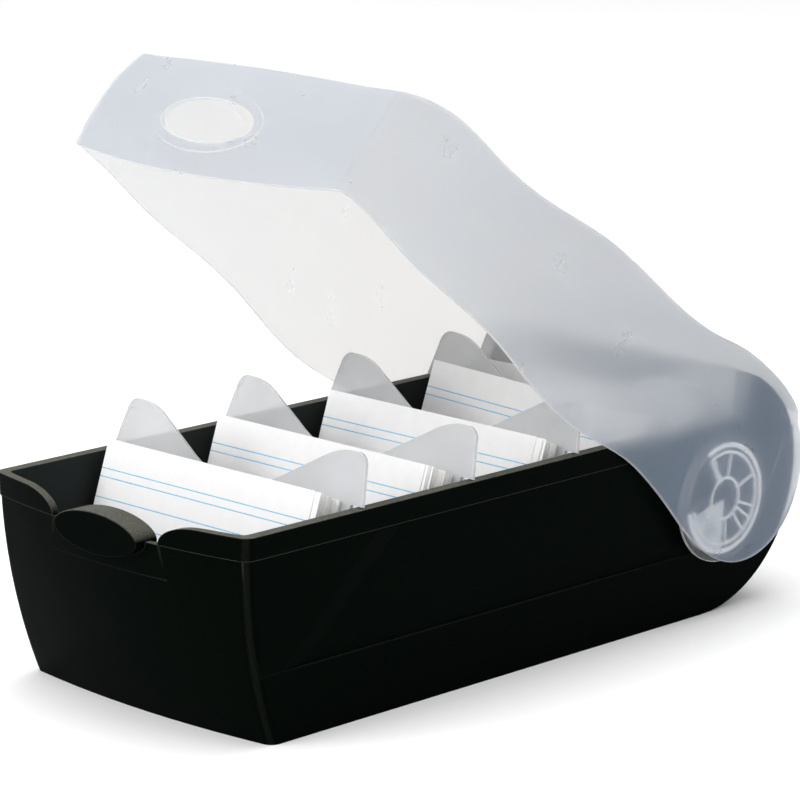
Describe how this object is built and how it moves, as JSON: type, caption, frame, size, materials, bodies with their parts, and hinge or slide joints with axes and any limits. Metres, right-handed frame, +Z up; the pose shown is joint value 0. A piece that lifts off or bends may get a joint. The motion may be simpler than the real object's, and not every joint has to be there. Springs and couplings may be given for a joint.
{
  "type": "index card drawer",
  "caption": "Desktop drawer box for index cards: open black tray, frosted wavy hinged lid with latch knob, leaning clear dividers and packs of ruled cards.",
  "frame": {"origin": "centre of the flat underside that the box stands on", "axes": "+Z up, +Y to the rear where the lid is hinged, +X to the right seen from the front"},
  "size_m": [0.134, 0.291, 0.2142],
  "materials": {
    "tray_black": "fine-grained black moulded plastic",
    "lid_frosted": "frosted translucent plastic",
    "disc_clear": "frosted translucent plastic, ribbed",
    "divider_clear": "translucent light grey plastic",
    "card_paper": "white card with light blue ruled lines"
  },
  "bodies": {
    "tray": {"tray": "tray_black"},
    "lid": {"lid": "lid_frosted", "hinge_disc_left": "disc_clear", "hinge_disc_right": "disc_clear"},
    "latch": {"latch_tongue": "tray_black"},
    "divider_1": {"divider_1": "divider_clear"},
    "divider_2": {"divider_2": "divider_clear"},
    "divider_3": {"divider_3": "divider_clear"},
    "divider_4": {"divider_4": "divider_clear"},
    "divider_5": {"divider_5": "divider_clear"},
    "card_stack_1": {"card_stack_1": "card_paper"},
    "card_stack_2": {"card_stack_2": "card_paper"},
    "card_stack_3": {"card_stack_3": "card_paper"},
    "card_stack_4": {"card_stack_4": "card_paper"},
    "card_stack_5": {"card_stack_5": "card_paper"}
  },
  "joints": [
    {"name": "lid_hinge", "type": "hinge", "parent": "tray", "child": "lid", "pos_m": [0, 0.11618, 0.0446], "axis": [-1, 0, 0], "range_deg": [-33.7, 71.3]},
    {"name": "latch_flex", "type": "hinge", "parent": "tray", "child": "latch", "pos_m": [0, -0.12521, 0.054], "axis": [-1, 0, 0], "range_deg": [0, 12], "stiffness_Nm_per_rad": 0.6},
    {"name": "divider_1_lift", "type": "slide", "parent": "tray", "child": "divider_1", "axis": [0, 0.319, 0.9478], "range_m": [0, 0.07]},
    {"name": "divider_2_lift", "type": "slide", "parent": "tray", "child": "divider_2", "axis": [0, 0.319, 0.9478], "range_m": [0, 0.06]},
    {"name": "divider_3_lift", "type": "slide", "parent": "tray", "child": "divider_3", "axis": [0, 0.319, 0.9478], "range_m": [0, 0.04]},
    {"name": "divider_4_lift", "type": "slide", "parent": "tray", "child": "divider_4", "axis": [0, 0.319, 0.9478], "range_m": [0, 0.012]},
    {"name": "divider_5_lift", "type": "slide", "parent": "tray", "child": "divider_5", "axis": [-0.0111, 0.3188, 0.9478], "range_m": [0, 0.0025]},
    {"name": "card_stack_1_tip", "type": "hinge", "parent": "tray", "child": "card_stack_1", "pos_m": [0, -0.10046, 0.0082], "axis": [1, 0, 0], "range_deg": [0, 25]},
    {"name": "card_stack_2_tip", "type": "hinge", "parent": "tray", "child": "card_stack_2", "pos_m": [0, -0.0483, 0.0082], "axis": [1, 0, 0], "range_deg": [0, 25]},
    {"name": "card_stack_3_tip", "type": "hinge", "parent": "tray", "child": "card_stack_3", "pos_m": [0, 0.00746, 0.0082], "axis": [1, 0, 0], "range_deg": [0, 25]},
    {"name": "card_stack_4_tip", "type": "hinge", "parent": "tray", "child": "card_stack_4", "pos_m": [0, 0.05948, 0.0082], "axis": [1, 0, 0], "range_deg": [0, 25]},
    {"name": "card_stack_5_tip", "type": "hinge", "parent": "tray", "child": "card_stack_5", "pos_m": [0, 0.08807, 0.0082], "axis": [0.9994, 0.0349, 0], "range_deg": [0, 10]}
  ]
}
